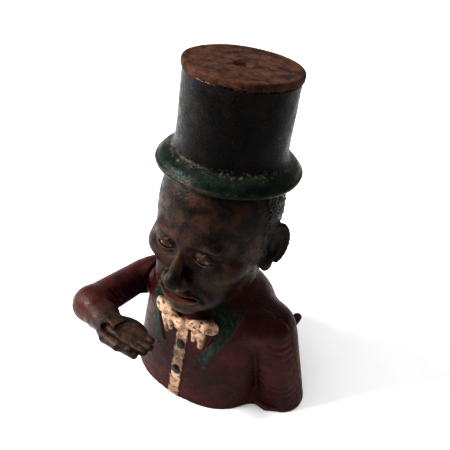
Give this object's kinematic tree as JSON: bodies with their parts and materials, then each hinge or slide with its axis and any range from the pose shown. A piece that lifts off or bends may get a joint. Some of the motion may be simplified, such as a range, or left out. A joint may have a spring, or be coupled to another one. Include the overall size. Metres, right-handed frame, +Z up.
{
  "type": "mechanical bank",
  "caption": "Cast-iron mechanical coin bank: a bust in a top hat whose arm lifts a coin to its mouth as the tongue tips and the eyes roll.",
  "frame": {"origin": "middle of the underside of the base", "axes": "+Z up through the hat, the bust faces -Y, its left side is +X"},
  "size_m": [0.1402, 0.1244, 0.2127],
  "materials": {
    "jacket_paint": "worn oxblood-red enamel over cast iron",
    "face_paint": "worn dark brown enamel over cast iron",
    "hat_paint": "glossy black enamel, chipped at its edges",
    "brim_paint": "worn dark green enamel",
    "cream_paint": "worn cream enamel",
    "rusty_iron": "bare cast iron with old rust",
    "hand_iron": "bare cast iron with traces of brown paint",
    "screw_iron": "dull dark iron",
    "brass": "tarnished brass",
    "eye_paint": "worn ivory enamel",
    "tongue_paint": "worn dull red enamel"
  },
  "bodies": {
    "bust": {"front_shell": "jacket_paint", "back_shell": "jacket_paint", "shell_screws": "screw_iron", "hat": "hat_paint", "hat_top": "rusty_iron", "hat_screw": "rusty_iron", "hat_nut": "screw_iron", "base_plate": "rusty_iron", "base_screws": "screw_iron", "trap_stud": "brass", "trap_nut": "brass", "tongue_axle": "screw_iron"},
    "arm": {"arm_shaft": "screw_iron", "right_arm": "jacket_paint", "arm_screw": "rusty_iron", "thumb_lever": "jacket_paint", "lever_pin": "screw_iron", "crank": "screw_iron", "crank_pin": "screw_iron"},
    "link": {"link_rod": "screw_iron", "link_washers": "brass"},
    "tongue": {"tongue": "tongue_paint", "tongue_pin": "screw_iron"},
    "eyes": {"left_eye": "eye_paint", "right_eye": "eye_paint", "eye_bar": "screw_iron", "eye_pin": "screw_iron"},
    "trap": {"trap_cover": "rusty_iron"}
  },
  "joints": [
    {"name": "arm_raise", "type": "hinge", "parent": "bust", "child": "arm", "pos_m": [0, -0.005, 0.048], "axis": [-1, 0, 0], "range_deg": [0, 26]},
    {"name": "link_swing", "type": "hinge", "parent": "arm", "child": "link", "pos_m": [0, 0.00377, 0.05002], "axis": [-1, 0, 0], "range_deg": [-26, 0]},
    {"name": "tongue_tip", "type": "hinge", "parent": "bust", "child": "tongue", "pos_m": [0, -0.032, 0.085], "axis": [-1, 0, 0], "range_deg": [0, 26]},
    {"name": "eye_roll", "type": "hinge", "parent": "bust", "child": "eyes", "pos_m": [0, -0.03, 0.119], "axis": [-1, 0, 0], "range_deg": [0, 26]},
    {"name": "trap_swing", "type": "hinge", "parent": "bust", "child": "trap", "pos_m": [0, 0.014, 0.00335], "axis": [0, 0, 1], "range_deg": [0, 100]}
  ],
  "couplings": [
    {"joint": "link_swing", "follows": "arm_raise", "ratio": -1},
    {"joint": "tongue_tip", "follows": "arm_raise", "ratio": 1},
    {"joint": "eye_roll", "follows": "arm_raise", "ratio": 1}
  ]
}
